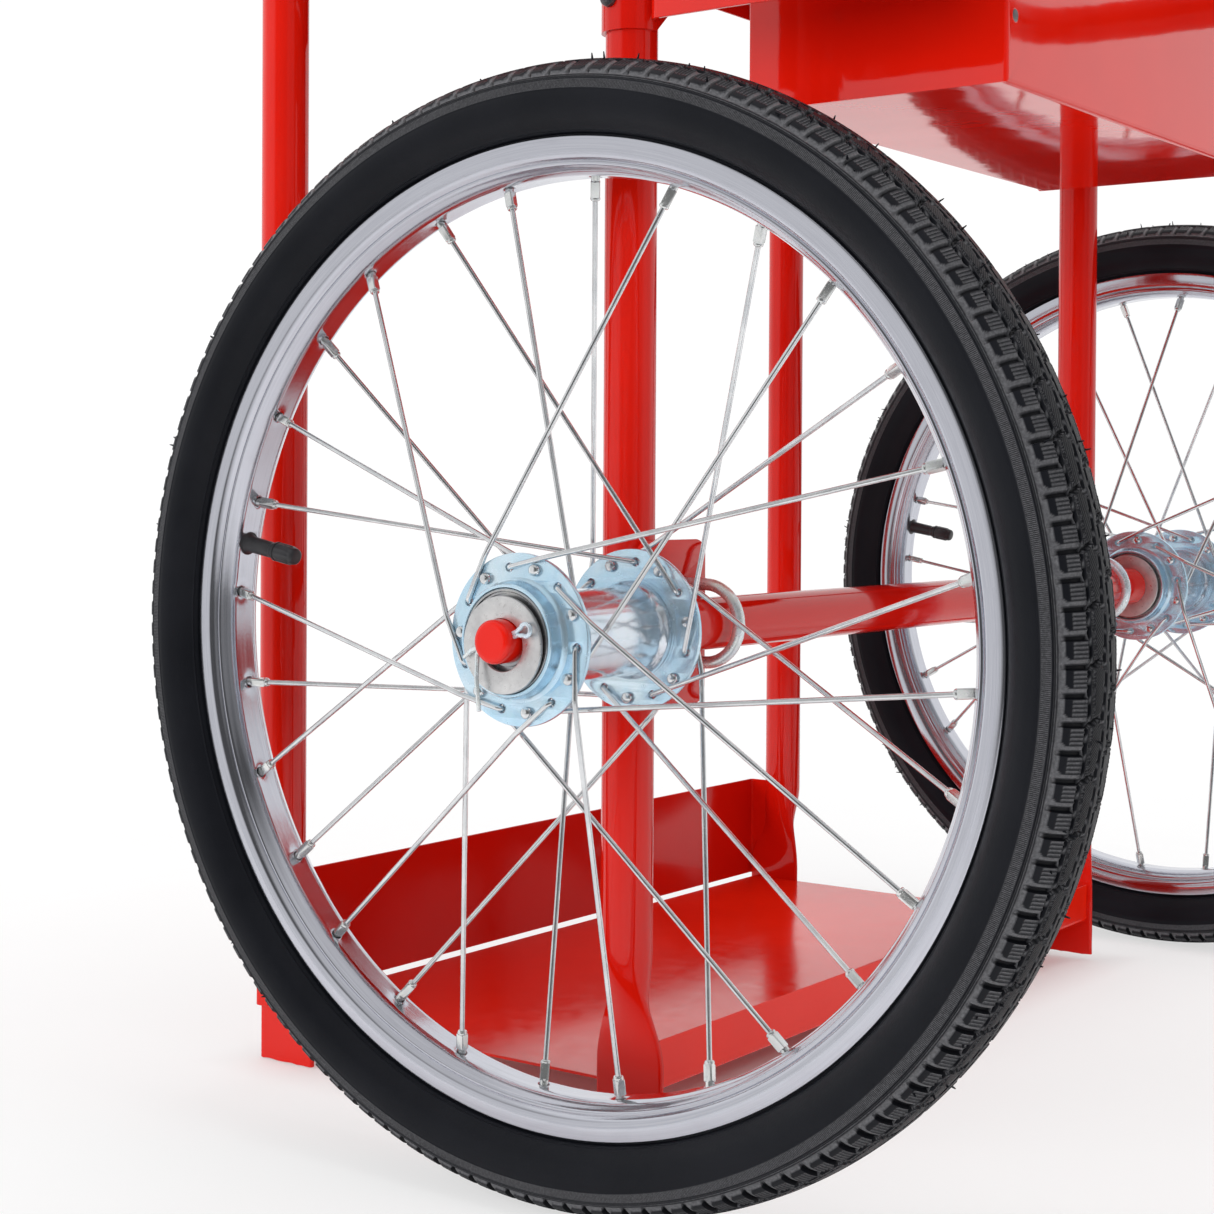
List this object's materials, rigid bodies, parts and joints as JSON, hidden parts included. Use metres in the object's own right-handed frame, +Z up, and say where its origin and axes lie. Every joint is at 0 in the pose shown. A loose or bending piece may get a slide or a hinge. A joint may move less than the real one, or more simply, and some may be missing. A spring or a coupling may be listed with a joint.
{
  "type": "popcorn cart",
  "caption": "Red round-tube cart with two wire-spoked pneumatic wheels on a fixed axle, a lower tray, a hung storage bin, a flat deck for a popcorn machine and a padded push handle.",
  "frame": {"origin": "on the floor, below the middle of the whole cart", "axes": "+Z up, +Y along the axle from the left wheel to the right wheel, +X from the standing feet towards the push handle"},
  "size_m": [0.629, 0.808, 0.7],
  "materials": {
    "red_paint": "gloss powder coat",
    "zinc_plate": "bright zinc plate",
    "hub_zinc": "blue-passivated zinc plate",
    "spoke_steel": "bright galvanised",
    "bearing_steel": "ground",
    "black_screw": "black oxide",
    "rim_aluminium": "polished",
    "tyre_rubber": "satin moulded",
    "tube_rubber": "matte",
    "grip_rubber": "matte foam",
    "black_plastic": "moulded"
  },
  "bodies": {
    "cart": {"wheel_post_left": "red_paint", "wheel_post_right": "red_paint", "foot_post_left": "red_paint", "foot_post_right": "red_paint", "lower_tray": "red_paint", "rear_panel": "red_paint", "axle_tube": "red_paint", "axle_stub_left": "red_paint", "axle_stub_right": "red_paint", "axle_bracket_left": "red_paint", "axle_bracket_right": "red_paint", "u_bolts": "zinc_plate", "u_bolt_washers": "zinc_plate", "u_bolt_nuts": "zinc_plate", "bearing_inner_races": "bearing_steel", "axle_washers": "zinc_plate", "cotter_pins": "zinc_plate", "post_sleeve_left": "red_paint", "post_sleeve_right": "red_paint", "sleeve_screws": "black_screw", "apron_left": "red_paint", "apron_right": "red_paint", "storage_bin": "red_paint", "bin_end_left": "red_paint", "bin_end_right": "red_paint", "bin_rail_rear": "red_paint", "bin_rail_front": "red_paint", "bin_screws": "black_screw", "deck": "red_paint", "deck_sockets": "red_paint", "push_handle": "red_paint", "handle_grip": "grip_rubber", "handle_bolts": "zinc_plate", "handle_nuts": "zinc_plate", "handle_plugs": "black_plastic"},
    "wheel_left": {"tyre_left": "tyre_rubber", "inner_tube_left": "tube_rubber", "rim_left": "rim_aluminium", "spokes_left": "spoke_steel", "nipples_left": "spoke_steel", "hub_shell_left": "hub_zinc", "hub_flanges_left": "hub_zinc", "bearing_outer_races_left": "bearing_steel", "bearing_balls_left": "bearing_steel", "valve_stem_left": "tube_rubber", "valve_cap_left": "black_plastic"},
    "wheel_right": {"tyre_right": "tyre_rubber", "inner_tube_right": "tube_rubber", "rim_right": "rim_aluminium", "spokes_right": "spoke_steel", "nipples_right": "spoke_steel", "hub_shell_right": "hub_zinc", "hub_flanges_right": "hub_zinc", "bearing_outer_races_right": "bearing_steel", "bearing_balls_right": "bearing_steel", "valve_stem_right": "tube_rubber", "valve_cap_right": "black_plastic"}
  },
  "joints": [
    {"name": "wheel_left_spin", "type": "hinge", "parent": "cart", "child": "wheel_left", "pos_m": [-0.0244, -0.35, 0.253], "axis": [0, 1, 0], "continuous": true},
    {"name": "wheel_right_spin", "type": "hinge", "parent": "cart", "child": "wheel_right", "pos_m": [-0.0244, 0.35, 0.253], "axis": [0, 1, 0], "continuous": true}
  ]
}
